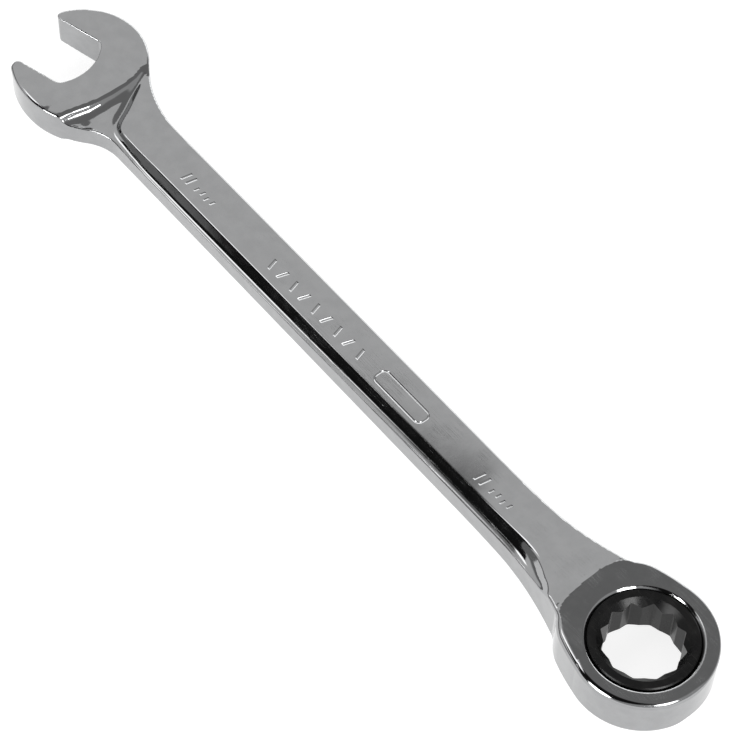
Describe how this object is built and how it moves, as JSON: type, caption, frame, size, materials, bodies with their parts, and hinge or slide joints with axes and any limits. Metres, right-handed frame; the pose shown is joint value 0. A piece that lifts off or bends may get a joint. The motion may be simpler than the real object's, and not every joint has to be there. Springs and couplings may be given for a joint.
{
  "type": "ratcheting combination wrench",
  "caption": "Slim chromed wrench with a slanted open jaw at one end and a one-way ratcheting 12-point ring at the other.",
  "frame": {"origin": "centre of the ratcheting ring, on the forging's mid-plane", "axes": "+Z along the ring's axis out of the marked face; the shank and the open jaw lie along -X"},
  "size_m": [0.1613, 0.0231, 0.0076],
  "materials": {
    "polished_chrome": "polished chrome plate",
    "black_oxide": "satin black oxide on steel",
    "hardened_steel": "oiled hardened steel",
    "spring_steel": "blued spring steel"
  },
  "bodies": {
    "wrench": {"wrench_body": "polished_chrome", "retaining_ring": "spring_steel", "pawl_spring": "spring_steel"},
    "gear": {"drive_gear": "black_oxide"},
    "pawl": {"pawl": "hardened_steel"}
  },
  "joints": [
    {"name": "gear_spin", "type": "hinge", "parent": "wrench", "child": "gear", "pos_m": [0, 0, 0], "axis": [0, 0, 1], "continuous": true},
    {"name": "pawl_slide", "type": "slide", "parent": "wrench", "child": "pawl", "axis": [-0.9397, 0.342, 0], "range_m": [0, 0.00055], "stiffness_N_per_m": 400, "springref_m": -0.0015, "deforming": ["pawl_spring"]}
  ]
}
